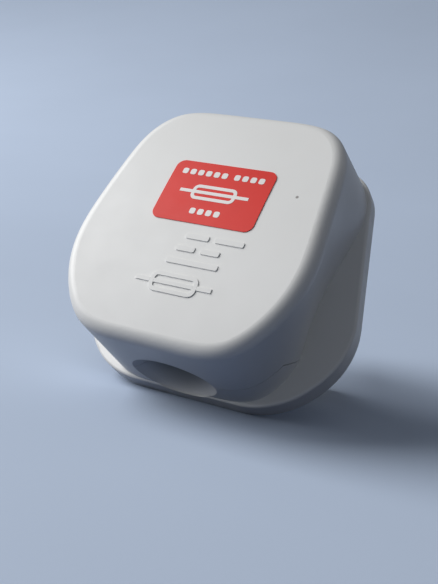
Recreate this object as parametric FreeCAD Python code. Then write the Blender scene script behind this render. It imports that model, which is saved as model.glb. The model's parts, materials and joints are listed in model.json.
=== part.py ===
import FreeCAD, Part
import math
import os

# Rewireable three-pin mains plug, laid down on its cord-end edge and its two short pins.
# Everything is drawn in the plug's own frame: x across the pins, y towards the earth pin,
# z out of the back, the engagement face at z = 0 and the short pins on y = 0.
# All sizes are in millimetres. The last step turns the whole plug into its resting pose.

# Pins
PIN_PITCH = 22.23
EARTH_OFFSET = 22.23
SHORT_PIN_W = 6.35
SHORT_PIN_T = 3.95
SHORT_PIN_L = 17.7
EARTH_PIN_W = 3.95
EARTH_PIN_T = 7.95
EARTH_PIN_L = 22.73
PIN_TIP_R = 1.0
SLEEVE_L = 9.0
SLEEVE_T = 0.6

# Rim, the flange that lies against the socket
FLANGE_H = 4.2
RIM_STEP = 0.25
RIM_EARTH_HALF = 18.2
RIM_HALF = 26.3
RIM_Y = -3.2
RIM_CORD_HALF = 16.8
RIM_EARTH_ROUND = 0.18
RIM_SIDE_ROUND = 0.48
RIM_CORD_ROUND = 0.46
RIM_EDGE_R = 1.0
RIM_LIP_R = 0.5

# Grip, the tapered body above the rim: the poles of its smooth foot on the rim and crest at the back
EARTH_SET_BACK = 0.2
CORD_SET_BACK = 0.35
FLAT_HALF = 5.0
FOOT_END_HALF = 16.0
FOOT_CORNER_HALF = 19.2
FOOT_SHOULDER_HALF = 20.1
FOOT_WAIST_HALF = 17.4
FOOT_HOLLOW_HALF = 17.1
FOOT_HIP_HALF = 18.4
FOOT_CORD_HALF = 14.1
CREST_END_HALF = 14.0
CREST_CORNER_HALF = 19.2
CREST_SHOULDER_HALF = 20.4
CREST_WAIST_HALF = 22.2
CREST_BULGE_HALF = 23.0
CREST_HIP_HALF = 21.3
CREST_CORD_HALF = 14.5
CORNER_DROP = 5.9
FOOT_SHOULDER_Y = 21.1
FOOT_HOLLOW_Y = -1.0
FOOT_HIP_Y = -5.9
CREST_SHOULDER_Y = 18.9
CREST_BULGE_Y = 4.0
CREST_HIP_Y = -4.7
WAIST_Y = 9.8

# Back, arched along the plug
BACK_H = 21.65
CROWN_Y = -1.75
ARCH_R = 170.0
BACK_EDGE_R = 2.1
WALL = 2.2
ROOF = 2.4

# Parting between base and cover round the cord entry
PART_Z = 8.7
PART_TOP_Y = -8.2
PART_FOOT_Y = -5.0
PART_GAP = 0.12
RIB_T = 1.2
RIB_H = 1.8

# Cord entry, an oval bell mouth split by the parting that narrows to a round throat
THROAT_R = 4.2
THROAT_L = 2.2
MOUTH_W = 15.6
MOUTH_H = 11.4
FLARE_L = 3.0
COLLAR_LIP = 0.3

# Cover screw, its captive washer and its nut
SCREW_Y = 10.0
SCREW_R = 1.75
SCREW_HEAD_R = 3.3
SCREW_HEAD_H = 2.0
SCREW_SINK = 0.4
SCREW_SLOT = 0.9
WASHER_R = 3.0
WASHER_T = 0.8
NUT_R = 2.8
NUT_H = 7.0
BOSS_R = 4.2

# Terminals
HEAD_W = 7.0
HEAD_D = 7.2
HEAD_H = 8.5
LIVE_HEAD_H = 3.0
EARTH_HEAD_W = 8.0
EARTH_HEAD_D = 9.4
WIRE_R = 1.7
WIRE_Z = 2.9
CLAMP_SCREW_R = 1.4
CLAMP_HEAD_R = 2.2
CLAMP_HEAD_H = 1.7
CLAMP_SLOT = 0.7

# Cartridge fuse and its clips
FUSE_L = 25.4
FUSE_R = 3.175
FUSE_CAP_L = 6.0
FUSE_CAP_T = 0.35
CLIP_T = 0.6
CLIP_L = 5.0
CLIP_MOUTH = 4.6

# Load-side live terminal beyond the end of the fuse
LOAD_BLOCK_L = 4.4
LOAD_BLOCK_W = 5.6
LOAD_GAP = 0.7
END_ROOM = 2.2

# Cord grip
GRIP_CLEAR = 0.7
GRIP_GAP = 0.6
GRIP_PITCH = 17.0
GRIP_POST_R = 2.5
GRIP_BAR_T = 2.4
GRIP_BAR_W = 4.6
CORD_R = 3.5

# Partitions between the terminals
PARTITION_X = 5.6
PARTITION_T = 1.2
PARTITION_H = 7.0
PARTITION_START = -2.0
PARTITION_END = 15.6

# Paper label on the back
LABEL_W = 18.8
LABEL_H = 12.2
LABEL_X = 0.4
LABEL_Y = 13.4
LABEL_T = 0.12
LABEL_GLUE = 0.01
LABEL_R = 1.5

# Fits
SLOT_FIT = 0.08
BORE_FIT = 0.05
HEAD_FIT = 0.3
REACH = 60.0

LINE_X = PIN_PITCH / 2
WALL_TOP = BACK_H + WALL

# The fuse lies along y over the live pin, with its first cap centred on the pin,
# and the earth end of the body stands clear of the terminal beyond the fuse
FUSE_Y = -FUSE_CAP_L / 2
FUSE_END = FUSE_Y + FUSE_L
FUSE_Z = FLANGE_H + LIVE_HEAD_H + CLIP_T + FUSE_R
LOAD_CLIP_Y = FUSE_END - FUSE_CAP_L / 2
LOAD_Y = FUSE_END + LOAD_GAP + LOAD_BLOCK_L / 2
EARTH_REACH = LOAD_Y + LOAD_BLOCK_L / 2 + END_ROOM + WALL

# The cord grip stands clear of the pins' heads, and the cord entry in front of it ends the body
GRIP_Y = -HEAD_D / 2 - GRIP_CLEAR - GRIP_BAR_W / 2
CORD_REACH = GRIP_BAR_W / 2 - GRIP_Y + GRIP_GAP + THROAT_L + FLARE_L

# The grip's poles from the earth end round to the cord end: half width and y
FOOT = [
    (FLAT_HALF, EARTH_REACH),
    (FOOT_END_HALF, EARTH_REACH),
    (FOOT_CORNER_HALF, EARTH_REACH - CORNER_DROP),
    (FOOT_SHOULDER_HALF, FOOT_SHOULDER_Y),
    (FOOT_WAIST_HALF, WAIST_Y),
    (FOOT_HOLLOW_HALF, FOOT_HOLLOW_Y),
    (FOOT_HIP_HALF, FOOT_HIP_Y),
    (FOOT_CORD_HALF, -CORD_REACH),
    (FLAT_HALF, -CORD_REACH),
]
CREST = [
    (FLAT_HALF, EARTH_REACH - EARTH_SET_BACK),
    (CREST_END_HALF, EARTH_REACH - EARTH_SET_BACK),
    (CREST_CORNER_HALF, EARTH_REACH - CORNER_DROP),
    (CREST_SHOULDER_HALF, CREST_SHOULDER_Y),
    (CREST_WAIST_HALF, WAIST_Y),
    (CREST_BULGE_HALF, CREST_BULGE_Y),
    (CREST_HIP_HALF, CREST_HIP_Y),
    (CREST_CORD_HALF, CORD_SET_BACK - CORD_REACH),
    (FLAT_HALF, CORD_SET_BACK - CORD_REACH),
]

# The rim's corners the same way round: half width, y and the share of a side that is rounded
RIM = [
    (RIM_EARTH_HALF, EARTH_REACH + RIM_STEP, RIM_EARTH_ROUND),
    (RIM_HALF, RIM_Y, RIM_SIDE_ROUND),
    (RIM_CORD_HALF, -CORD_REACH - RIM_STEP, RIM_CORD_ROUND),
]


def vec(x, y, z):
    return FreeCAD.Vector(x, y, z)


def mirrored(half):
    """Closed outline, clockwise from the earth end, from its right half."""
    return half + [(-x, *rest) for x, *rest in reversed(half)]


def with_radii(half):
    """Right half of an outline with each corner's share turned into its radius."""
    corners = mirrored(half)
    count = len(corners)
    rounded = []
    for i, (x, y, share) in enumerate(half):
        back = vec(corners[i - 1][0] - x, corners[i - 1][1] - y, 0)
        ahead = vec(corners[(i + 1) % count][0] - x, corners[(i + 1) % count][1] - y, 0)
        run = share * min(back.Length, ahead.Length)
        rounded.append((x, y, run * math.tan(back.getAngle(ahead) / 2)))
    return rounded


def rounded_wire(corners, z):
    """Wire of straight runs and tangent arcs through a list of corners with radii."""
    count = len(corners)
    edges = []
    ends = []
    for i, (x, y, radius) in enumerate(corners):
        here = vec(x, y, z)
        back = vec(corners[i - 1][0], corners[i - 1][1], z) - here
        ahead = vec(corners[(i + 1) % count][0], corners[(i + 1) % count][1], z) - here
        half_angle = back.getAngle(ahead) / 2
        back.normalize()
        ahead.normalize()
        run = radius / math.tan(half_angle)
        toward = back + ahead
        toward.normalize()
        middle = here + toward * (radius / math.sin(half_angle) - radius)
        ends.append((here + back * run, middle, here + ahead * run))
    for i, (start, middle, end) in enumerate(ends):
        edges.append(Part.Arc(start, middle, end).toShape())
        edges.append(Part.LineSegment(end, ends[(i + 1) % count][0]).toShape())
    return Part.Wire(edges)


def smooth_wire(poles, z):
    """Closed smooth curve drawn in by a list of poles."""
    curve = Part.BSplineCurve()
    curve.buildFromPoles([vec(x, y, z) for x, y in poles], True, 3)
    return Part.Wire([curve.toShape()])


def inset(poles, depth):
    """Poles moved inwards by a wall, each along the line that halves its corner."""
    count = len(poles)
    moved = []
    for i, (x, y) in enumerate(poles):
        ax, ay = x - poles[i - 1][0], y - poles[i - 1][1]
        bx, by = poles[(i + 1) % count][0] - x, poles[(i + 1) % count][1] - y
        la, lb = math.hypot(ax, ay), math.hypot(bx, by)
        nx, ny = ay / la, -ax / la
        mx, my = by / lb, -bx / lb
        share = depth / (1 + nx * mx + ny * my)
        moved.append((x + (nx + mx) * share, y + (ny + my) * share))
    return moved


def grip_outline(z):
    """The grip's poles at a height, on the straight lines from its foot to its crest."""
    rise = (z - FLANGE_H) / (BACK_H - FLANGE_H)
    return mirrored([(a + (c - a) * rise, b + (d - b) * rise) for (a, b), (c, d) in zip(FOOT, CREST)])


def grip_body(depth):
    """The grip's tapered walls from the rim to above the back, moved inwards by depth."""
    low = smooth_wire(inset(grip_outline(FLANGE_H), depth), FLANGE_H)
    high = smooth_wire(inset(grip_outline(WALL_TOP), depth), WALL_TOP)
    return Part.makeLoft([low, high], True, True)


def prism_x(points):
    """A profile in the y-z plane, made wide enough to cross the whole plug."""
    path = [vec(-REACH, y, z) for y, z in points]
    return Part.Face(Part.makePolygon(path + path[:1])).extrude(vec(2 * REACH, 0, 0))


def under_arch(drop):
    """All that lies under the arched back, lowered by drop along the arch's radius."""
    radius = ARCH_R - drop
    centre_z = BACK_H - ARCH_R
    span = EARTH_REACH + CORD_REACH

    def on_arch(y):
        return vec(-REACH, y, centre_z + math.sqrt(radius ** 2 - (y - CROWN_Y) ** 2))

    first, last = on_arch(CROWN_Y - span), on_arch(CROWN_Y + span)
    low_first, low_last = vec(-REACH, first.y, -REACH), vec(-REACH, last.y, -REACH)
    edges = [
        Part.Arc(first, on_arch(CROWN_Y), last).toShape(),
        Part.LineSegment(last, low_last).toShape(),
        Part.LineSegment(low_last, low_first).toShape(),
        Part.LineSegment(low_first, first).toShape(),
    ]
    return Part.Face(Part.Wire(edges)).extrude(vec(2 * REACH, 0, 0))


def block(width, depth, height, x, y, z):
    """Box centred on x and y that stands on z."""
    return Part.makeBox(width, depth, height, vec(x - width / 2, y - depth / 2, z))


def rod(radius, length, x, y, z):
    """Upright cylinder that stands on z."""
    return Part.makeCylinder(radius, length, vec(x, y, z))


def rod_y(radius, length, x, y, z):
    """Cylinder along y from y onwards."""
    return Part.makeCylinder(radius, length, vec(x, y, z), vec(0, 1, 0))


def edges_at(shape, z):
    """Edges that lie flat at a height."""
    level = 1e-4
    return [e for e in shape.Edges if abs(e.BoundBox.ZMin - z) < level and abs(e.BoundBox.ZMax - z) < level]


def parting_block(gap):
    """The part of the grip round the cord entry that belongs to the base."""
    return prism_x([
        (-REACH, -FLANGE_H),
        (PART_FOOT_Y + gap, -FLANGE_H),
        (PART_FOOT_Y + gap, FLANGE_H),
        (PART_TOP_Y + gap, PART_Z + gap),
        (-REACH, PART_Z + gap),
    ])


def wall_y(z):
    """Where the cord-end wall stands at a height."""
    return -CORD_REACH + CORD_SET_BACK * (z - FLANGE_H) / (BACK_H - FLANGE_H)


def oval(half_x, half_z, y):
    """Upright oval round the cord's line, wider than it is high."""
    curve = Part.Ellipse(vec(0, 0, 0), half_x, half_z).toShape()
    curve.rotate(vec(0, 0, 0), vec(1, 0, 0), 90)
    curve.translate(vec(0, y, PART_Z))
    return Part.Wire([curve])


def bell_mouth():
    """The space of the cord entry: a throat that flares out to an oval in the wall's face."""
    mouth = wall_y(PART_Z)
    lip = oval(MOUTH_W / 2, MOUTH_H / 2, mouth)
    throat = Part.Wire([Part.makeCircle(THROAT_R, vec(0, mouth + FLARE_L, PART_Z), vec(0, -1, 0))])
    flare = Part.makeLoft([lip, throat], True, True)
    before = Part.Face(lip).extrude(vec(0, -CORD_REACH, 0))
    return flare.fuse([before, rod_y(THROAT_R, THROAT_L + WALL, 0, mouth + FLARE_L, PART_Z)])


def collar():
    """Round wall that carries the flare, from the middle of the cord-end wall inwards."""
    depth = FLARE_L + THROAT_L - WALL / 2
    return rod_y(MOUTH_W / 2 + COLLAR_LIP, depth, 0, wall_y(PART_Z) + WALL / 2, PART_Z)


def make_base(cavity, mouth):
    """Flanged base with the lower half of the cord entry, pin slots, posts and partitions."""
    plate = Part.Face(rounded_wire(mirrored(with_radii(RIM)), 0)).extrude(vec(0, 0, FLANGE_H))
    plate = plate.makeFillet(RIM_EDGE_R, edges_at(plate, 0))
    plate = plate.makeFillet(RIM_LIP_R, edges_at(plate, FLANGE_H))
    front = grip_body(0).common(parting_block(0)).cut(cavity)
    half_collar = collar().common(parting_block(0))
    rib_foot = inset(grip_outline(FLANGE_H), WALL + PART_GAP)
    rib = Part.Face(smooth_wire(rib_foot, FLANGE_H)).extrude(vec(0, 0, RIB_H))
    rib = rib.cut(Part.Face(smooth_wire(inset(rib_foot, RIB_T), FLANGE_H)).extrude(vec(0, 0, RIB_H)))
    room = 2 * HEAD_FIT
    for x, y, width, depth in (
        (-LINE_X, 0, HEAD_W, HEAD_D),
        (LINE_X, 0, HEAD_W, HEAD_D),
        (LINE_X, LOAD_Y, LOAD_BLOCK_W, LOAD_BLOCK_L),
    ):
        rib = rib.cut(block(width + room, depth + room, RIB_H, x, y, FLANGE_H))
    base = plate.fuse([front, half_collar, rib])
    for side in (-1, 1):
        post_top = PART_Z + CORD_R - BORE_FIT
        post = rod(GRIP_POST_R, post_top - FLANGE_H, side * GRIP_PITCH / 2, GRIP_Y, FLANGE_H)
        partition_l = PARTITION_END - PARTITION_START
        partition_y = (PARTITION_END + PARTITION_START) / 2
        wall = block(PARTITION_T, partition_l, PARTITION_H, side * PARTITION_X, partition_y, FLANGE_H)
        base = base.fuse([post, wall])
        pilot_h = GRIP_BAR_T + CLAMP_HEAD_H
        base = base.cut(rod(CLAMP_SCREW_R + BORE_FIT, pilot_h, side * GRIP_PITCH / 2, GRIP_Y, post_top - pilot_h))
    slots = [
        block(SHORT_PIN_W + SLOT_FIT, SHORT_PIN_T + SLOT_FIT, FLANGE_H, side * LINE_X, 0, 0) for side in (-1, 1)
    ]
    slots.append(block(EARTH_PIN_W + SLOT_FIT, EARTH_PIN_T + SLOT_FIT, FLANGE_H, 0, EARTH_OFFSET, 0))
    screw_way = [
        rod(SCREW_R + HEAD_FIT, FLANGE_H, 0, SCREW_Y, 0),
        rod(SCREW_HEAD_R + HEAD_FIT, SCREW_SINK + SCREW_HEAD_H, 0, SCREW_Y, 0),
        rod(WASHER_R + BORE_FIT, WASHER_T, 0, SCREW_Y, FLANGE_H - WASHER_T),
    ]
    return base.cut(slots + screw_way + [mouth]).removeSplitter()


def make_cover(cavity, mouth):
    """Arched shell with the upper half of the cord entry and the boss for the nut."""
    outer = grip_body(0).common(under_arch(0))
    back = max(outer.Faces, key=lambda face: face.CenterOfMass.z)
    outer = outer.makeFillet(BACK_EDGE_R, back.Edges)
    boss = rod(BOSS_R, BACK_H - FLANGE_H, 0, SCREW_Y, FLANGE_H).common(under_arch(ROOF / 2))
    cover = outer.cut(cavity).cut(parting_block(PART_GAP))
    cover = cover.fuse([boss, collar().cut(parting_block(PART_GAP))])
    pocket = rod(NUT_R, NUT_H, 0, SCREW_Y, FLANGE_H)
    return cover.cut([pocket, mouth]).removeSplitter()


def slotted_screw(radius, length, head_r, head_h, slot):
    """Cheese-head screw with its shank up from the origin and its head above it."""
    screw = rod(radius, length, 0, 0, 0).fuse(rod(head_r, head_h, 0, 0, length))
    groove = block(3 * head_r, slot, head_h / 2, 0, 0, length + head_h / 2)
    return screw.cut(groove).removeSplitter()


def make_cover_screw():
    """Screw put in from the engagement face, head down in its sunk seat."""
    length = FLANGE_H - SCREW_SINK - SCREW_HEAD_H + NUT_H
    screw = slotted_screw(SCREW_R, length, SCREW_HEAD_R, SCREW_HEAD_H, SCREW_SLOT)
    screw.rotate(vec(0, 0, 0), vec(1, 0, 0), 180)
    screw.translate(vec(0, SCREW_Y, FLANGE_H + NUT_H))
    return screw


def make_washer():
    """Washer that keeps the cover screw in the base."""
    return rod(WASHER_R, WASHER_T, 0, SCREW_Y, FLANGE_H - WASHER_T).cut(
        rod(SCREW_R + BORE_FIT, WASHER_T, 0, SCREW_Y, FLANGE_H - WASHER_T))


def make_nut():
    """Round insert in the cover's boss."""
    nut = rod(NUT_R, NUT_H, 0, SCREW_Y, FLANGE_H)
    return nut.cut(rod(SCREW_R + BORE_FIT, NUT_H, 0, SCREW_Y, FLANGE_H))


def blade(width, thick, length, x, y):
    """Pin blade down from the top of the flange, with its tip rounded all round."""
    bar = block(width, thick, length + FLANGE_H, x, y, -length)
    return bar.makeFillet(PIN_TIP_R, edges_at(bar, -length))


def sleeve_core(x):
    """Narrowed stretch of a short pin that its sleeve fills out."""
    outer = block(SHORT_PIN_W, SHORT_PIN_T, SLEEVE_L, x, 0, -SLEEVE_L)
    inner = block(SHORT_PIN_W - 2 * SLEEVE_T, SHORT_PIN_T - 2 * SLEEVE_T, SLEEVE_L, x, 0, -SLEEVE_L)
    return outer.cut(inner)


def drilled(head, x, y, depth, top):
    """Terminal head with its wire hole along y and its screw hole down from the top."""
    wire_z = FLANGE_H + WIRE_Z
    head = head.cut(rod_y(WIRE_R, depth, x, y - depth / 2, wire_z))
    return head.cut(rod(CLAMP_SCREW_R + BORE_FIT, top - wire_z, x, y, wire_z)).removeSplitter()


def make_neutral_pin():
    """Neutral pin with its terminal head."""
    pin = blade(SHORT_PIN_W, SHORT_PIN_T, SHORT_PIN_L, -LINE_X, 0).cut(sleeve_core(-LINE_X))
    pin = pin.fuse(block(HEAD_W, HEAD_D, HEAD_H, -LINE_X, 0, FLANGE_H))
    return drilled(pin, -LINE_X, 0, HEAD_D, FLANGE_H + HEAD_H)


def make_earth_pin():
    """Earth pin with its terminal head."""
    pin = blade(EARTH_PIN_W, EARTH_PIN_T, EARTH_PIN_L, 0, EARTH_OFFSET)
    pin = pin.fuse(block(EARTH_HEAD_W, EARTH_HEAD_D, HEAD_H, 0, EARTH_OFFSET, FLANGE_H))
    return drilled(pin, 0, EARTH_OFFSET, EARTH_HEAD_D, FLANGE_H + HEAD_H)


def make_live_pin():
    """Live pin with the low head that carries a fuse clip."""
    pin = blade(SHORT_PIN_W, SHORT_PIN_T, SHORT_PIN_L, LINE_X, 0).cut(sleeve_core(LINE_X))
    return pin.fuse(block(HEAD_W, HEAD_D, LIVE_HEAD_H, LINE_X, 0, FLANGE_H)).removeSplitter()


def make_fuse_body():
    """Ceramic barrel with turned-down ends for the caps."""
    neck = FUSE_R - FUSE_CAP_T
    barrel_l = FUSE_L - 2 * FUSE_CAP_L
    body = rod_y(FUSE_R, barrel_l, LINE_X, FUSE_Y + FUSE_CAP_L, FUSE_Z)
    return body.fuse(rod_y(neck, FUSE_L - 2 * FUSE_CAP_T, LINE_X, FUSE_Y + FUSE_CAP_T, FUSE_Z)).removeSplitter()


def make_fuse_cap(end_y, inward):
    """Metal cup over one end of the fuse; inward is +1 at the pin end and -1 at the other."""
    start = min(end_y, end_y + inward * FUSE_CAP_L)
    hollow = min(end_y + inward * FUSE_CAP_T, end_y + inward * FUSE_CAP_L)
    cup = rod_y(FUSE_R, FUSE_CAP_L, LINE_X, start, FUSE_Z)
    return cup.cut(rod_y(FUSE_R - FUSE_CAP_T, FUSE_CAP_L - FUSE_CAP_T, LINE_X, hollow, FUSE_Z))


def make_fuse_clip(y):
    """Spring clip: a split ring on a flat foot, open at the top."""
    start = y - CLIP_L / 2
    ring = rod_y(FUSE_R + CLIP_T, CLIP_L, LINE_X, start, FUSE_Z)
    foot = block(2 * FUSE_R, CLIP_L, CLIP_T + FUSE_R, LINE_X, y, FUSE_Z - FUSE_R - CLIP_T)
    clip = ring.fuse(foot).cut(rod_y(FUSE_R, CLIP_L, LINE_X, start, FUSE_Z))
    mouth = block(CLIP_MOUTH, CLIP_L, FUSE_R + CLIP_T, LINE_X, y, FUSE_Z)
    return clip.cut(mouth).removeSplitter()


def make_live_terminal():
    """Load-side terminal: a strip under the second clip with a drilled block past the fuse."""
    strip_start = LOAD_CLIP_Y - CLIP_L / 2
    strip_l = LOAD_Y + LOAD_BLOCK_L / 2 - strip_start
    strip = block(LOAD_BLOCK_W, strip_l, LIVE_HEAD_H, LINE_X, strip_start + strip_l / 2, FLANGE_H)
    head = block(LOAD_BLOCK_W, LOAD_BLOCK_L, HEAD_H, LINE_X, LOAD_Y, FLANGE_H)
    terminal = strip.fuse(head)
    wire_z = FLANGE_H + LIVE_HEAD_H + WIRE_Z
    across = Part.makeCylinder(WIRE_R, LOAD_BLOCK_W, vec(LINE_X - LOAD_BLOCK_W / 2, LOAD_Y, wire_z), vec(1, 0, 0))
    down = rod(CLAMP_SCREW_R + BORE_FIT, FLANGE_H + HEAD_H - wire_z, LINE_X, LOAD_Y, wire_z)
    return terminal.cut([across, down]).removeSplitter()


def make_terminal_screw(x, y, wire_z):
    """Wire-clamping screw standing in a terminal head."""
    top = FLANGE_H + HEAD_H
    screw = slotted_screw(CLAMP_SCREW_R, top - wire_z, CLAMP_HEAD_R, CLAMP_HEAD_H, CLAMP_SLOT)
    screw.translate(vec(x, y, wire_z))
    return screw


def make_cord_clamp():
    """Bar across the cord with a hollow for it and a hole over each post."""
    bottom = PART_Z + CORD_R - BORE_FIT
    length = GRIP_PITCH + 2 * GRIP_POST_R
    bar = block(length, GRIP_BAR_W, GRIP_BAR_T, 0, GRIP_Y, bottom)
    ends = [e for e in bar.Edges if abs(e.BoundBox.ZLength - GRIP_BAR_T) < BORE_FIT]
    bar = bar.makeFillet(GRIP_BAR_W / 2 - BORE_FIT, ends)
    hollow = rod_y(CORD_R + BORE_FIT, GRIP_BAR_W, 0, GRIP_Y - GRIP_BAR_W / 2, PART_Z)
    holes = [
        rod(CLAMP_SCREW_R + BORE_FIT, GRIP_BAR_T, side * GRIP_PITCH / 2, GRIP_Y, bottom) for side in (-1, 1)
    ]
    return bar.cut([hollow] + holes)


def make_cord_clamp_screws():
    """The two screws that draw the bar down on its posts."""
    top = PART_Z + CORD_R - BORE_FIT + GRIP_BAR_T
    length = 2 * GRIP_BAR_T
    screws = []
    for side in (-1, 1):
        screw = slotted_screw(CLAMP_SCREW_R, length, CLAMP_HEAD_R, CLAMP_HEAD_H, CLAMP_SLOT)
        screw.translate(vec(side * GRIP_PITCH / 2, GRIP_Y, top - length))
        screws.append(screw)
    return Part.makeCompound(screws)


def make_label():
    """Thin label that follows the arch of the back."""
    x, y = LABEL_W / 2, LABEL_H / 2
    corners = [(x, y, LABEL_R), (x, -y, LABEL_R), (-x, -y, LABEL_R), (-x, y, LABEL_R)]
    column = Part.Face(rounded_wire(corners, 0)).extrude(vec(0, 0, WALL_TOP))
    column.translate(vec(LABEL_X, LABEL_Y, 0))
    return column.common(under_arch(-LABEL_GLUE - LABEL_T)).cut(under_arch(-LABEL_GLUE))


def lying_angle():
    """Turn about x that brings the rim's cord edge and the short pins' tips to one level."""
    edge_y = -CORD_REACH - RIM_STEP + RIM_EDGE_R
    tip_y = -SHORT_PIN_T / 2 + PIN_TIP_R
    tip_z = PIN_TIP_R - SHORT_PIN_L
    along, down = tip_y - edge_y, RIM_EDGE_R - tip_z
    lean = math.asin((RIM_EDGE_R - PIN_TIP_R) / math.hypot(along, down))
    return math.degrees(math.atan2(down, along) - lean)


def build():
    """Every piece in the plug's own frame."""
    cavity = grip_body(WALL).common(under_arch(ROOF))
    mouth = bell_mouth()
    wire_z = FLANGE_H + WIRE_Z
    return {
        "base": make_base(cavity, mouth),
        "cover": make_cover(cavity, mouth),
        "cover_screw": make_cover_screw(),
        "cover_screw_washer": make_washer(),
        "cover_nut": make_nut(),
        "earth_pin": make_earth_pin(),
        "neutral_pin": make_neutral_pin(),
        "live_pin": make_live_pin(),
        "neutral_pin_sleeve": sleeve_core(-LINE_X),
        "live_pin_sleeve": sleeve_core(LINE_X),
        "earth_terminal_screw": make_terminal_screw(0, EARTH_OFFSET, wire_z),
        "neutral_terminal_screw": make_terminal_screw(-LINE_X, 0, wire_z),
        "live_terminal_screw": make_terminal_screw(LINE_X, LOAD_Y, wire_z + LIVE_HEAD_H),
        "live_terminal": make_live_terminal(),
        "fuse_body": make_fuse_body(),
        "fuse_cap_pin_side": make_fuse_cap(FUSE_Y, 1),
        "fuse_cap_load_side": make_fuse_cap(FUSE_END, -1),
        "fuse_clip_pin_side": make_fuse_clip(0),
        "fuse_clip_load_side": make_fuse_clip(LOAD_CLIP_Y),
        "cord_clamp": make_cord_clamp(),
        "cord_clamp_screws": make_cord_clamp_screws(),
        "fuse_label": make_label(),
    }


def lay_down(pieces):
    """Turn the plug into its resting pose, with the origin under the middle of its box."""
    angle = lying_angle()
    for shape in pieces.values():
        shape.rotate(vec(0, 0, 0), vec(1, 0, 0), angle)
    box = Part.makeCompound(list(pieces.values())).optimalBoundingBox(False)
    shift = vec(0, -(box.YMin + box.YMax) / 2, -box.ZMin)
    for shape in pieces.values():
        shape.translate(shift)
    print("turned %.4f degrees about x, moved %.4f along y and %.4f along z" % (angle, shift.y, shift.z))


pieces = build()
lay_down(pieces)
for name, shape in pieces.items():
    shape.exportStep("parts/%s.step" % name)
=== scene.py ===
"""Looks of a rewireable three-pin mains plug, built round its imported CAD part."""

import json
import math

import bmesh
import bpy
from bpy.props import FloatProperty, FloatVectorProperty, PointerProperty
from bpy.types import Operator, Panel, PropertyGroup
from mathutils import Matrix, Vector
from mathutils.bvhtree import BVHTree


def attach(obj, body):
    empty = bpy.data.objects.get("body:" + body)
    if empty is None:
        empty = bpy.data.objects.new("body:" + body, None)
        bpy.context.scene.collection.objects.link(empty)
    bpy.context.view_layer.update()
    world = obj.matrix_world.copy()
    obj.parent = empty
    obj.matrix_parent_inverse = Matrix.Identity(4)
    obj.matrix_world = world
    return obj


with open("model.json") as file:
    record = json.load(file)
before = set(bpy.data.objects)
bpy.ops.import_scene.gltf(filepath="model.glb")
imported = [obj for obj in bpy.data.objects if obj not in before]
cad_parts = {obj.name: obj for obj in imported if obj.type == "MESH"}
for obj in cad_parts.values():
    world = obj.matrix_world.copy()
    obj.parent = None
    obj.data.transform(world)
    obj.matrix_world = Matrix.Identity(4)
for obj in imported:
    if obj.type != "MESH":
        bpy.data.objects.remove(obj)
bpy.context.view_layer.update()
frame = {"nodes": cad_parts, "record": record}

bl_info = {
    "name": "Three-pin plug looks",
    "version": (1, 0, 0),
    "blender": (4, 5, 0),
    "location": "View3D > Sidebar > Plug",
    "description": "Materials, label print, stage and camera for a three-pin mains plug",
    "category": "Object",
}

MM = 0.001
NODES = frame["nodes"]
MOUNTS = {mount["name"]: mount for mount in frame["record"]["mounts"]}


def plug_frame():
    """Matrix from the plug's own frame to the row's: y towards the earth pin, z out of the back."""
    face = MOUNTS["engagement_face"]
    z = -Vector(face["axis"]).normalized()
    x = Vector((1, 0, 0))
    turn = Matrix((x, z.cross(x), z)).transposed().to_4x4()
    return Matrix.Translation(face["pos_m"]) @ turn


PLUG = plug_frame()


def on_plug(point):
    """Point in millimetres of the plug's own frame, carried to the row's frame."""
    return PLUG @ (Vector(point) * MM)


# Speck in the back and painted shade in the cord entry, in millimetres of the plug's own frame
SPECK_AT = (14.6, 15.4, 20.8)
SPECK_CORE = 0.6
SPECK_MOST = 0.75
ENTRY_SHADE_INSIDE = 1.0
ENTRY_SHADE_FULL = 4.4
ENTRY_SHADE_END = 7.6

# Print on the label, in millimetres of the plug's own frame: rows have a y and the dashes in each group
PRINT_AT = (0.4, 13.4)
PRINT_SIGN = {"width": 8.2, "height": 3.0, "stroke": 0.62, "lead": 2.3}
PRINT_ROWS = ((17.3, (6, 4)), (9.6, (4,)))
DASH_W = 1.05
DASH_H = 1.15
DASH_GAP = 0.45
GROUP_GAP = 1.3
PRINT_SINK = 0.02

# Raised marks on the back, in millimetres of the plug's own frame: rows have a start, a y and their bars
RAISED_AT = (0.7, -3.9)
RAISED_SIGN = {"width": 8.6, "height": 3.6, "stroke": 0.75, "lead": 2.6}
RAISED_ROWS = ((-0.8, 4.9, (4.2, 5.2)), (-1.6, 2.5, (3.4, 3.4)), (-2.4, 0.1, (9.4,)))
RAISED_BAR_H = 1.0
RAISED_BAR_R = 0.3
RAISED_BAR_GAP = 1.1
RAISED_SINK = 0.1
RAISED_EDGE = 0.12

# Outlines of the marks: segments in a corner, corners as shares of a stroke or a dash, and the height
# in millimetres over the engagement face from which they are dropped on a surface
CORNER_STEPS = 5
SIGN_CORNER = 0.7
WIRE_CORNER = 0.05
DASH_CORNER = 0.3
DROP_FROM = 60

# Lamps, sky and floor, in metres of the row's own frame
LAMP_AIM = (0, 0, 0.02)
KEY_LAMP = {"toward": (-0.80, -0.26, 0.54), "distance": 1.00, "size": 0.85}
FILL_LAMP = {"toward": (0.55, 0.70, 0.50), "distance": 0.80, "size": 0.40}
SKY_TINT = (0.93, 0.96, 1.0)
SKY_SEEN = 0.6
FLOOR_HALF = 5.0
FLOOR_FRONT = -5.0
FLOOR_BACK = 0.10
FLOOR_BEND = 1.4
FLOOR_TOP = 2.4
BEND_STEPS = 48

# Camera fitted to the photograph, in millimetres and degrees of the plug's own frame
CAMERA_AT = (81.31, -58.85, 148.41)
CAMERA_AIM = (3.34, 0.56, 12.0)
CAMERA_ROLL = -35.04
CAMERA_LENS = 63.04
CAMERA_SENSOR = 36.0
CAMERA_CLIP = (0.01, 10.0)


# Settings


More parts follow.
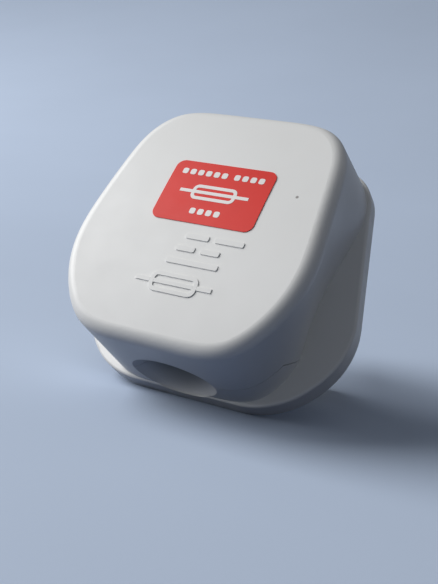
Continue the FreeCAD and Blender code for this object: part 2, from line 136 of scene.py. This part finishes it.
def colour(label, text, default):
    """Linear colour property with a swatch in the panel."""
    return FloatVectorProperty(
        name=label, description=text, subtype="COLOR", size=3, min=0, max=1, default=default
    )


def share(label, text, default):
    """Plain number from 0 to 1."""
    return FloatProperty(name=label, description=text, subtype="FACTOR", min=0, max=1, default=default)


def length(label, text, default):
    """Length in metres, shown in the scene's units."""
    return FloatProperty(name=label, description=text, unit="LENGTH", min=0, default=default)


def power(label, text, default):
    """Power of a lamp in watts."""
    return FloatProperty(name=label, description=text, unit="POWER", min=0, default=default)


class PlugHousing(PropertyGroup):
    """White moulding of the cover and base."""

    plastic: colour("Plastic", "Colour of the white moulding", (0.765, 0.765, 0.75))
    aged: colour("Aged", "Tone of the moulding where it has yellowed a little", (0.75, 0.748, 0.728))
    sheen: share("Roughness", "Roughness of the polished faces", 0.36)
    rub: share("Rubbed", "Roughness that handling adds in places", 0.09)
    # painted shade: this tone darkens the moulding deep in the cord entry, in place of the shade inside the
    # recess
    entry_shade: colour("Painted entry shade", "Tone of the moulding deep in the cord entry", (0.24, 0.235, 0.22))
    speck: colour("Speck", "Colour of the one dark speck moulded into the back", (0.10, 0.085, 0.07))
    speck_r: length("Speck radius", "Size of the speck", 0.32 * MM)


class PlugMarks(PropertyGroup):
    """Label, its print and the raised marks under it."""

    red: colour("Label red", "Colour of the label", (0.80, 0.032, 0.020))
    ink: colour("Print", "Colour of the print on the label", (0.86, 0.83, 0.80))
    print_h: length("Print height", "How far the print stands off the label", 0.03 * MM)
    sign_h: length("Sign height", "How far the raised marks stand off the back", 0.16 * MM)


class PlugMetal(PropertyGroup):
    """Pins with their sleeves, terminals, clips and screws."""

    brass: colour("Brass", "Colour of the pins, terminals and clips", (0.74, 0.53, 0.25))
    tarnish: colour("Tarnish", "Colour of the brass where it has dulled", (0.50, 0.33, 0.14))
    steel: colour("Steel", "Colour of the plated screws", (0.60, 0.60, 0.58))
    sleeve: colour("Sleeve", "Colour of the sleeves on the short pins", (0.018, 0.018, 0.019))


class PlugInside(PropertyGroup):
    """Fuse and cord grip."""

    ceramic: colour("Ceramic", "Colour of the fuse's body", (0.78, 0.76, 0.70))
    ceramic_worn: colour("Worn ceramic", "Tone of the fuse's body where it is soiled", (0.70, 0.67, 0.60))
    cap: colour("Cap", "Colour of the fuse's plated caps", (0.72, 0.71, 0.69))
    cap_worn: colour("Worn cap", "Tone of the caps where they have dulled", (0.60, 0.58, 0.55))
    fibre: colour("Fibre", "Colour of the cord grip and the screw's washer", (0.30, 0.075, 0.045))
    fibre_worn: colour("Worn fibre", "Tone of the fibre where it has darkened", (0.20, 0.05, 0.03))


class PlugStage(PropertyGroup):
    """Floor and light."""

    floor: colour("Floor", "Colour of the floor and backdrop as the camera sees them", (0.52, 0.61, 0.76))
    bounce: colour("Bounce", "Colour of the light that the floor throws back", (0.07, 0.10, 0.18))
    key: power("Key", "Power of the main lamp", 13.6)
    fill: power("Fill", "Power of the second lamp", 0.30)
    sky: FloatProperty(name="Sky", description="Strength of the even light all round", min=0, default=0.16)


SETTINGS = {
    "plug_housing": PlugHousing,
    "plug_marks": PlugMarks,
    "plug_metal": PlugMetal,
    "plug_inside": PlugInside,
    "plug_stage": PlugStage,
}


# Node trees


def feed(tree, socket, value):
    """Link a socket to another one, or set its constant."""
    if isinstance(value, bpy.types.NodeSocket):
        tree.links.new(value, socket)
    else:
        socket.default_value = value


def add(tree, kind, **inputs):
    """New node with its sockets fed by name."""
    node = tree.nodes.new(kind)
    for key, value in inputs.items():
        feed(tree, node.inputs[key.replace("_", " ")], value)
    return node


def maths(tree, operation, a, b):
    """Result of a sum on two values."""
    node = tree.nodes.new("ShaderNodeMath")
    node.operation = operation
    feed(tree, node.inputs[0], a)
    feed(tree, node.inputs[1], b)
    return node.outputs[0]


def distance(tree, place, point):
    """How far a place on the surface lies from a fixed point."""
    node = tree.nodes.new("ShaderNodeVectorMath")
    node.operation = "DISTANCE"
    feed(tree, node.inputs[0], place)
    feed(tree, node.inputs[1], point)
    return node.outputs["Value"]


def spread(tree, value, low, high, to_low, to_high):
    """Value carried from one range to another and held inside it."""
    node = add(
        tree,
        "ShaderNodeMapRange",
        Value=value,
        From_Min=low,
        From_Max=high,
        To_Min=to_low,
        To_Max=to_high,
    )
    return node.outputs["Result"]


def blend(tree, factor, a, b):
    """Colour between a and b, each a socket or three numbers."""
    node = tree.nodes.new("ShaderNodeMix")
    node.data_type = "RGBA"
    sockets = {socket.identifier: socket for socket in node.inputs}
    feed(tree, sockets["Factor_Float"], factor)
    for name, value in (("A_Color", a), ("B_Color", b)):
        linked = isinstance(value, bpy.types.NodeSocket)
        feed(tree, sockets[name], value if linked else (*value, 1))
    return next(socket for socket in node.outputs if socket.identifier == "Result_Color")


def seen_rays(tree):
    """Mask of the rays that show a surface to the eye, straight or by a reflection."""
    ray = tree.nodes.new("ShaderNodeLightPath").outputs
    seen = maths(tree, "MAXIMUM", ray["Is Camera Ray"], ray["Is Glossy Ray"])
    return maths(tree, "MAXIMUM", seen, ray["Is Transmission Ray"])


def grain_group():
    """Shared surface: broad tone, fine wear and a shallow uneven normal, in the row's own frame."""
    name = "moulding_grain"
    if name in bpy.data.node_groups:
        return bpy.data.node_groups[name]
    tree = bpy.data.node_groups.new(name, "ShaderNodeTree")
    face = tree.interface
    for label, default in (("Grain Size", 0.4), ("Depth", 0.02), ("Wear Size", 6.0)):
        face.new_socket(label, in_out="INPUT", socket_type="NodeSocketFloat").default_value = default
    face.new_socket("Tone", in_out="OUTPUT", socket_type="NodeSocketFloat")
    face.new_socket("Wear", in_out="OUTPUT", socket_type="NodeSocketFloat")
    face.new_socket("Normal", in_out="OUTPUT", socket_type="NodeSocketVector")
    given = tree.nodes.new("NodeGroupInput").outputs
    result = tree.nodes.new("NodeGroupOutput").inputs
    place = tree.nodes.new("ShaderNodeTexCoord").outputs["Object"]

    def noise(size_mm, detail):
        """Soft noise of a given size."""
        scale = maths(tree, "DIVIDE", 1 / MM, size_mm)
        return add(tree, "ShaderNodeTexNoise", Vector=place, Scale=scale, Detail=detail).outputs["Fac"]

    broad = maths(tree, "MULTIPLY", given["Wear Size"], 3.0)
    fine = noise(given["Grain Size"], detail=2.0)
    wear = noise(given["Wear Size"], detail=6.0)
    tone = noise(broad, detail=3.0)
    height = maths(tree, "MULTIPLY", fine, given["Depth"])
    bump = add(tree, "ShaderNodeBump", Height=height, Distance=MM, Strength=1.0)
    tree.links.new(spread(tree, tone, 0.3, 0.7, 0.0, 1.0), result["Tone"])
    tree.links.new(spread(tree, wear, 0.35, 0.7, 0.0, 1.0), result["Wear"])
    tree.links.new(bump.outputs["Normal"], result["Normal"])
    return tree


# Materials


def grained(tree, size, depth, wear):
    """Outputs of the shared surface with its own sizes in millimetres."""
    node = tree.nodes.new("ShaderNodeGroup")
    node.node_tree = grain_group()
    node.inputs["Grain Size"].default_value = size
    node.inputs["Depth"].default_value = depth
    node.inputs["Wear Size"].default_value = wear
    return node.outputs


def material(name):
    """Empty material with its tree and its principled node."""
    made = bpy.data.materials.new(name)
    made.use_nodes = True
    tree = made.node_tree
    return made, tree, tree.nodes["Principled BSDF"]


def finish_surface(tree, shader, base, rough, normal, **constants):
    """Link the usual sockets of a principled node and set its constants."""
    for name, value in (("Base Color", base), ("Roughness", rough), ("Normal", normal)):
        tree.links.new(value, shader.inputs[name])
    for name, value in constants.items():
        shader.inputs[name.replace("_", " ")].default_value = value


def scaled(tone, by):
    """The same colour with its light multiplied."""
    return Vector(tone) * by


def two_tone(name, first, second, roughness, grain, **constants):
    """Material that drifts between two tones and between two roughnesses.

    The grain gives the size and depth of the fine grain and the size of the wear, in millimetres.
    """
    made, tree, shader = material(name)
    surface = grained(tree, *grain)
    base = blend(tree, surface["Tone"], first, second)
    rough = spread(tree, surface["Wear"], 0.0, 1.0, *roughness)
    finish_surface(tree, shader, base, rough, surface["Normal"], **constants)
    return made


def moulding_material(settings):
    """Glossy white moulding, a little yellowed, with painted shade in the cord entry and one dark speck in
    the back.
    """
    made, tree, shader = material("white_moulding")
    surface = grained(tree, size=1.4, depth=0.0005, wear=5.0)
    place = tree.nodes.new("ShaderNodeTexCoord").outputs["Object"]

    def near(point, full, end, most):
        """Mask round a point, at its most within one distance and gone at the other."""
        return spread(tree, distance(tree, place, point), full, end, most, 0.0)

    # painted shade: the moulding is darkened towards the throat of the cord entry, in place of the shade
    # inside the recess
    entry = MOUNTS["cord_entry"]
    throat = Vector(entry["pos_m"]) - Vector(entry["axis"]) * ENTRY_SHADE_INSIDE * MM
    entry_shade_mask = near(throat, ENTRY_SHADE_FULL * MM, ENTRY_SHADE_END * MM, most=1.0)
    specked = near(on_plug(SPECK_AT), settings.speck_r * SPECK_CORE, settings.speck_r, most=SPECK_MOST)
    base = blend(tree, surface["Tone"], settings.plastic, settings.aged)
    base = blend(tree, entry_shade_mask, base, settings.entry_shade)
    base = blend(tree, specked, base, settings.speck)
    rough = spread(tree, surface["Wear"], 0.0, 1.0, settings.sheen, settings.sheen + settings.rub)
    finish_surface(tree, shader, base, rough, surface["Normal"], IOR=1.48)
    return made


def dress(names, made):
    """Put one material on several CAD nodes."""
    for name in names:
        mesh = NODES[name].data
        mesh.materials.clear()
        mesh.materials.append(made)


# Flat marks that lie on a CAD surface


def surface_of(name):
    """Search tree over a CAD node's faces."""
    mesh = NODES[name].data
    corners = [vertex.co for vertex in mesh.vertices]
    return BVHTree.FromPolygons(corners, [tuple(face.vertices) for face in mesh.polygons])


def rounded(width, height, radius, x, y):
    """Outline of a rounded bar, in millimetres on the back of the plug."""
    points = []
    for corner, (side, end) in enumerate(((1, 1), (-1, 1), (-1, -1), (1, -1))):
        middle_x = x + side * (width / 2 - radius)
        middle_y = y + end * (height / 2 - radius)
        for step in range(CORNER_STEPS + 1):
            angle = math.radians(90 * (corner + step / CORNER_STEPS))
            points.append((middle_x + radius * math.cos(angle), middle_y + radius * math.sin(angle)))
    return points


def fuse_sign(width, height, stroke, lead, x, y):
    """General sign for a fuse, a box with a wire through it: the wire's bars and the box's two outlines."""
    inner_width = width - 2 * stroke
    inner_height = height - 2 * stroke
    corner = SIGN_CORNER * stroke
    box = (
        rounded(width, height, corner + stroke, x, y),
        rounded(inner_width, inner_height, corner, x, y),
    )
    bars = [rounded(inner_width, stroke, WIRE_CORNER * stroke, x, y)]
    for side in (-1, 1):
        bars.append(rounded(lead, stroke, WIRE_CORNER * stroke, x + side * (width + lead) / 2, y))
    return bars, box


def dashes(counts, x, y):
    """Row of short bars in groups, centred on x."""
    gaps = sum(counts) - len(counts)
    total = sum(counts) * DASH_W + gaps * DASH_GAP + (len(counts) - 1) * GROUP_GAP
    start = x - total / 2
    bars = []
    for count in counts:
        for _ in range(count):
            bars.append(rounded(DASH_W, DASH_H, DASH_CORNER * DASH_H, start + DASH_W / 2, y))
            start += DASH_W + DASH_GAP
        start += GROUP_GAP - DASH_GAP
    return bars


def raised_bars():
    """Rows of plain bars, each from its own start."""
    bars = []
    for start, y, widths in RAISED_ROWS:
        for width in widths:
            bars.append(rounded(width, RAISED_BAR_H, RAISED_BAR_R, start + width / 2, y))
            start += width + RAISED_BAR_GAP
    return bars


def laid_mesh(name, bars, box, surface, sink, rise):
    """Solid marks that stand on a surface: each outline is dropped on it along the plug's z."""
    down = (PLUG.to_3x3() @ Vector((0, 0, -1))).normalized()
    shape = bmesh.new()

    def drop(outline):
        """Upper and lower corners of an outline at the surface."""
        pairs = []
        for x, y in outline:
            hit = surface.ray_cast(on_plug((x, y, DROP_FROM)), down)[0]
            if hit is None:
                raise RuntimeError("a mark lies off the surface")
            pairs.append((shape.verts.new(hit - down * rise), shape.verts.new(hit + down * sink)))
        return pairs

    def walls(pairs):
        """Side faces round an outline."""
        for (top, low), (next_top, next_low) in zip(pairs, pairs[1:] + pairs[:1]):
            shape.faces.new((top, low, next_low, next_top))

    for outline in bars:
        pairs = drop(outline)
        walls(pairs)
        shape.faces.new([top for top, _ in pairs])
        shape.faces.new([low for _, low in reversed(pairs)])
    outside, inside = [drop(outline) for outline in box]
    walls(outside)
    walls(inside[::-1])
    for i in range(len(outside)):
        j = (i + 1) % len(outside)
        ends = (outside[i], outside[j], inside[j], inside[i])
        shape.faces.new([top for top, _ in ends])
        shape.faces.new([low for _, low in reversed(ends)])
    bmesh.ops.recalc_face_normals(shape, faces=shape.faces)
    mesh = bpy.data.meshes.new(name)
    shape.to_mesh(mesh)
    shape.free()
    made = bpy.data.objects.new(name, mesh)
    bpy.context.collection.objects.link(made)
    return made


# Operators, one for each piece or group of like pieces


class PLUG_OT_housing(Operator):
    """Give the cover and base their white moulding"""

    bl_idname = "plug.housing"
    bl_label = "Housing"

    def execute(self, context):
        halves = ("base", "cover")
        dress(halves, moulding_material(context.scene.plug_housing))
        for name in halves:
            calm = NODES[name].modifiers.new("even_normals", "WEIGHTED_NORMAL")
            calm.keep_sharp = True
        return {"FINISHED"}


class PLUG_OT_label(Operator):
    """Colour the label and lay its general print on it"""

    bl_idname = "plug.label"
    bl_label = "Label"

    def execute(self, context):
        marks = context.scene.plug_marks
        paper = two_tone(
            "label_red",
            marks.red,
            scaled(marks.red, by=0.88),
            roughness=(0.36, 0.46),
            grain=(0.5, 0.002, 4.0),
            Specular_IOR_Level=0.25,
        )
        dress(("fuse_label",), paper)
        x, y = PRINT_AT
        bars, box = fuse_sign(**PRINT_SIGN, x=x, y=y)
        for row_y, counts in PRINT_ROWS:
            bars += dashes(counts, x, row_y)
        label = surface_of("fuse_label")
        printed = laid_mesh("label_print", bars, box, label, PRINT_SINK * MM, marks.print_h)
        white = two_tone(
            "print_white",
            marks.ink,
            scaled(marks.ink, by=0.93),
            roughness=(0.34, 0.46),
            grain=(0.3, 0.004, 2.0),
        )
        printed.data.materials.append(white)
        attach(printed, "root")
        return {"FINISHED"}


class PLUG_OT_sign(Operator):
    """Raise a general fuse sign and plain bars on the back, in the cover's own moulding"""

    bl_idname = "plug.sign"
    bl_label = "Raised sign"

    def execute(self, context):
        marks = context.scene.plug_marks
        x, y = RAISED_AT
        bars, box = fuse_sign(**RAISED_SIGN, x=x, y=y)
        bars += raised_bars()
        raised = laid_mesh("raised_sign", bars, box, surface_of("cover"), RAISED_SINK * MM, marks.sign_h)
        edge = raised.modifiers.new("soft_edges", "BEVEL")
        edge.width = RAISED_EDGE * MM
        edge.segments = 2
        raised.data.materials.append(NODES["cover"].data.materials[0])
        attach(raised, "root")
        return {"FINISHED"}


class PLUG_OT_pins(Operator):
    """Dress the pins, terminals and clips in brass and the sleeves in black"""

    bl_idname = "plug.pins"
    bl_label = "Pins"

    def execute(self, context):
        metal = context.scene.plug_metal
        brass = two_tone(
            "brass",
            metal.brass,
            metal.tarnish,
            roughness=(0.22, 0.42),
            grain=(0.25, 0.006, 3.0),
            Metallic=1.0,
        )
        dress(("earth_pin", "neutral_pin", "live_pin", "live_terminal", "cover_nut"), brass)
        dress(("fuse_clip_pin_side", "fuse_clip_load_side"), brass)
        black = two_tone(
            "sleeve_black",
            metal.sleeve,
            scaled(metal.sleeve, by=1.7),
            roughness=(0.38, 0.52),
            grain=(0.3, 0.008, 3.0),
        )
        dress(("neutral_pin_sleeve", "live_pin_sleeve"), black)
        return {"FINISHED"}


class PLUG_OT_screws(Operator):
    """Dress the plated screws"""

    bl_idname = "plug.screws"
    bl_label = "Screws"

    def execute(self, context):
        steel = context.scene.plug_metal.steel
        plated = two_tone(
            "plated_steel",
            steel,
            scaled(steel, by=0.78),
            roughness=(0.24, 0.45),
            grain=(0.2, 0.008, 1.5),
            Metallic=1.0,
        )
        dress(("cover_screw", "cord_clamp_screws", "earth_terminal_screw"), plated)
        dress(("neutral_terminal_screw", "live_terminal_screw"), plated)
        return {"FINISHED"}


class PLUG_OT_fuse(Operator):
    """Dress the cartridge fuse"""

    bl_idname = "plug.fuse"
    bl_label = "Fuse"

    def execute(self, context):
        inside = context.scene.plug_inside
        ceramic = two_tone(
            "ceramic",
            inside.ceramic,
            inside.ceramic_worn,
            roughness=(0.45, 0.6),
            grain=(0.15, 0.01, 2.0),
        )
        dress(("fuse_body",), ceramic)
        cap = two_tone(
            "plated_cap",
            inside.cap,
            inside.cap_worn,
            roughness=(0.14, 0.3),
            grain=(0.2, 0.004, 1.5),
            Metallic=1.0,
        )
        dress(("fuse_cap_pin_side", "fuse_cap_load_side"), cap)
        return {"FINISHED"}


class PLUG_OT_cord_grip(Operator):
    """Dress the cord grip and the screw washer in fibre"""

    bl_idname = "plug.cord_grip"
    bl_label = "Cord grip"

    def execute(self, context):
        inside = context.scene.plug_inside
        fibre = two_tone(
            "fibre",
            inside.fibre,
            inside.fibre_worn,
            roughness=(0.55, 0.75),
            grain=(0.12, 0.02, 1.5),
        )
        dress(("cord_clamp", "cover_screw_washer"), fibre)
        return {"FINISHED"}


class PLUG_OT_stage(Operator):
    """Lay the floor, hang the lamps and set the camera at the photograph's angle"""

    bl_idname = "plug.stage"
    bl_label = "Stage"

    def lamp(self, name, watts, toward, distance, size):
        """Square soft lamp that looks at the plug from a direction."""
        data = bpy.data.lights.new(name, "AREA")
        data.energy = watts
        data.size = size
        made = bpy.data.objects.new(name, data)
        back = Vector(toward).normalized()
        made.location = Vector(LAMP_AIM) + back * distance
        made.rotation_euler = back.to_track_quat("Z", "Y").to_euler()
        bpy.context.collection.objects.link(made)

    def sheet(self, tone, bounce):
        """Matt sheet that is pale to the eye and throws little light back on the plug."""
        made, tree, shader = material("floor_sheet")
        surface = grained(tree, size=0.6, depth=0.01, wear=40.0)
        pale = blend(tree, surface["Tone"], tone, scaled(tone, by=0.97))
        base = blend(tree, seen_rays(tree), bounce, pale)
        rough = spread(tree, surface["Wear"], 0.0, 1.0, 0.7, 0.8)
        finish_surface(tree, shader, base, rough, surface["Normal"], Specular_IOR_Level=0.08)
        return made

    def floor(self, tone, bounce):
        """Floor that sweeps up into a backdrop."""
        profile = [(FLOOR_FRONT, 0.0)]
        for step in range(BEND_STEPS + 1):
            angle = math.pi / 2 * step / BEND_STEPS
            run = FLOOR_BACK + FLOOR_BEND * math.sin(angle)
            profile.append((run, FLOOR_BEND * (1 - math.cos(angle))))
        profile.append((FLOOR_BACK + FLOOR_BEND, FLOOR_TOP))
        corners = [(x, y, z) for y, z in profile for x in (-FLOOR_HALF, FLOOR_HALF)]
        faces = [(2 * i, 2 * i + 1, 2 * i + 3, 2 * i + 2) for i in range(len(profile) - 1)]
        mesh = bpy.data.meshes.new("floor")
        mesh.from_pydata(corners, [], faces)
        mesh.shade_smooth()
        mesh.materials.append(self.sheet(tone, bounce))
        made = bpy.data.objects.new("floor", mesh)
        bpy.context.collection.objects.link(made)

    def sky(self, scene, tone, strength):
        """Even cool light all round, which shows the backdrop's tone to the eye."""
        world = bpy.data.worlds.new("studio")
        world.use_nodes = True
        tree = world.node_tree
        light = scaled(SKY_TINT, by=strength)
        shown = blend(tree, seen_rays(tree), light, scaled(tone, by=SKY_SEEN))
        tree.links.new(shown, tree.nodes["Background"].inputs["Color"])
        scene.world = world

    def camera(self, scene):
        """Camera at the photograph's angle, set in the plug's own frame."""
        data = bpy.data.cameras.new("camera")
        data.sensor_width = CAMERA_SENSOR
        data.lens = CAMERA_LENS
        data.clip_start, data.clip_end = CAMERA_CLIP
        back = Vector(CAMERA_AT) - Vector(CAMERA_AIM)
        turn = back.to_track_quat("Z", "Y").to_matrix().to_4x4()
        roll = Matrix.Rotation(math.radians(CAMERA_ROLL), 4, "Z")
        made = bpy.data.objects.new("camera", data)
        made.matrix_world = PLUG @ Matrix.Translation(Vector(CAMERA_AT) * MM) @ turn @ roll
        bpy.context.collection.objects.link(made)
        scene.camera = made

    def execute(self, context):
        scene = context.scene
        stage = scene.plug_stage
        self.floor(stage.floor, stage.bounce)
        self.lamp("key_lamp", stage.key, **KEY_LAMP)
        self.lamp("fill_lamp", stage.fill, **FILL_LAMP)
        self.sky(scene, stage.floor, stage.sky)
        scene.view_settings.view_transform = "Standard"
        self.camera(scene)
        return {"FINISHED"}


OPERATORS = (
    PLUG_OT_housing,
    PLUG_OT_label,
    PLUG_OT_sign,
    PLUG_OT_pins,
    PLUG_OT_screws,
    PLUG_OT_fuse,
    PLUG_OT_cord_grip,
    PLUG_OT_stage,
)


class PLUG_PT_looks(Panel):
    """Settings and build steps of the plug's looks"""

    bl_label = "Three-pin plug"
    bl_idname = "PLUG_PT_looks"
    bl_space_type = "VIEW_3D"
    bl_region_type = "UI"
    bl_category = "Plug"

    def draw(self, context):
        for name, group in SETTINGS.items():
            box = self.layout.box()
            for key in group.__annotations__:
                box.prop(getattr(context.scene, name), key)
        for operator in OPERATORS:
            self.layout.operator(operator.bl_idname)


CLASSES = (*SETTINGS.values(), *OPERATORS, PLUG_PT_looks)


def register():
    for item in CLASSES:
        bpy.utils.register_class(item)
    for name, group in SETTINGS.items():
        setattr(bpy.types.Scene, name, PointerProperty(type=group))


def unregister():
    for name in SETTINGS:
        delattr(bpy.types.Scene, name)
    for item in reversed(CLASSES):
        bpy.utils.unregister_class(item)


def main():
    register()
    bpy.ops.plug.housing()
    bpy.ops.plug.label()
    bpy.ops.plug.sign()
    bpy.ops.plug.pins()
    bpy.ops.plug.screws()
    bpy.ops.plug.fuse()
    bpy.ops.plug.cord_grip()
    bpy.ops.plug.stage()


if __name__ == "__main__":
    main()
